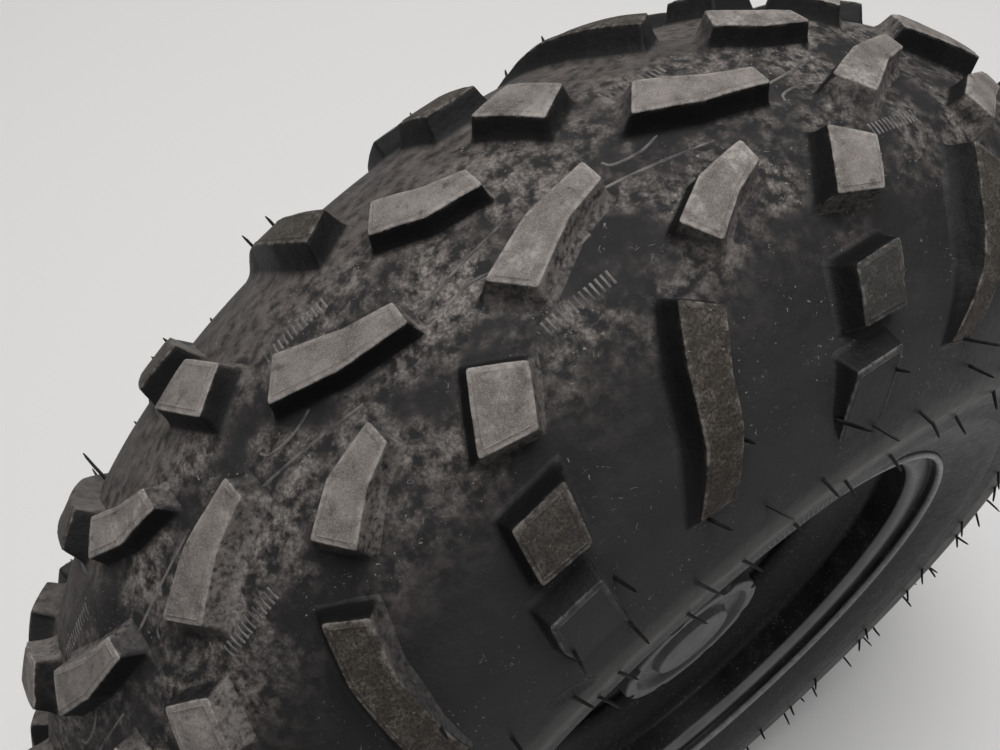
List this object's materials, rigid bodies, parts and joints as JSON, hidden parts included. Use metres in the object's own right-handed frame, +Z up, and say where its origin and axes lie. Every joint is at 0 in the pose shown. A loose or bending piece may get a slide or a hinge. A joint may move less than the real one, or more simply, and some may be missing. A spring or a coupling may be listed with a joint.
{
  "type": "off-road wheel of a side-by-side utility vehicle",
  "caption": "Knobbly off-road tyre on a pressed-steel rim with a bolt-on hub face, plastic centre cap and rubber valve.",
  "frame": {"origin": "centre of the wheel's hub bore, on the face that bolts to the hub", "axes": "+Y along the axle towards the vehicle, -Y out of the rim's open side, +Z up"},
  "size_m": [0.6578, 0.237, 0.6578],
  "materials": {
    "tyre_rubber": "black rubber, worn and dusty on the lugs' tops",
    "rim_paint": "satin dark grey paint",
    "cap_plastic": "dark grey moulded plastic with a soft gloss",
    "valve_rubber": "matt black rubber",
    "valve_cap_plastic": "matt black plastic"
  },
  "bodies": {
    "root": {"tyre": "tyre_rubber", "rim_barrel": "rim_paint", "rim_disc": "rim_paint", "hub_plate": "rim_paint", "bore_collar": "rim_paint", "centre_cap": "cap_plastic", "valve_stem": "valve_rubber", "valve_cap": "valve_cap_plastic"}
  },
  "joints": []
}
